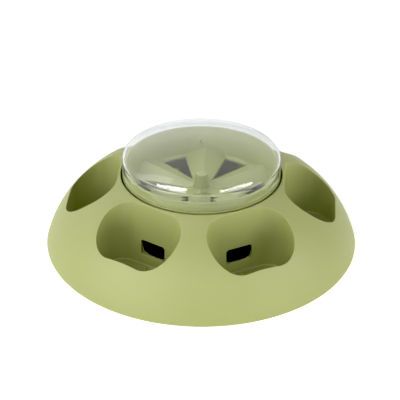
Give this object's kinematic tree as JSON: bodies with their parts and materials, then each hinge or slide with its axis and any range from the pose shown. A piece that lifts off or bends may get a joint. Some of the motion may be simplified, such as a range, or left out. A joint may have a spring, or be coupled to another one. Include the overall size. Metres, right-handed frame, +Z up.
{
  "type": "slow feeder puzzle bowl",
  "caption": "Domed pet feeder with rounded pockets around a turning food tray under a clear lift-off lid; turning the tray drops dry food that slides out into the pockets.",
  "frame": {"origin": "on the table under the middle of the base", "axes": "+Z up along the turntable's axis, +X through the middle of one pocket"},
  "size_m": [0.28, 0.28, 0.1002],
  "materials": {
    "base_plastic": "satin sage-green moulding",
    "tray_plastic": "satin sage-green moulding",
    "inner_plastic": "matte charcoal moulding",
    "lid_plastic": "polished and clear",
    "foot_rubber": "matte",
    "steel": "zinc plated",
    "nylon": "smooth"
  },
  "bodies": {
    "base": {"dome_shell": "base_plastic", "floor_plate": "inner_plastic", "case_screws": "steel", "food_distributor": "inner_plastic", "thrust_washer": "nylon", "keeper_washer": "steel", "pivot_screw": "steel", "foot_pad_1": "foot_rubber", "foot_pad_2": "foot_rubber", "foot_pad_3": "foot_rubber", "foot_pad_4": "foot_rubber", "foot_pad_5": "foot_rubber", "foot_pad_6": "foot_rubber"},
    "turntable": {"turntable_tray": "tray_plastic", "hub_cap": "tray_plastic"},
    "lid": {"clear_lid": "lid_plastic"}
  },
  "joints": [
    {"name": "tray_spin", "type": "hinge", "parent": "base", "child": "turntable", "pos_m": [0, 0, 0.05], "axis": [0, 0, 1], "continuous": true},
    {"name": "lid_lift", "type": "slide", "parent": "turntable", "child": "lid", "axis": [0, 0, 1], "range_m": [0, 0.06]}
  ]
}
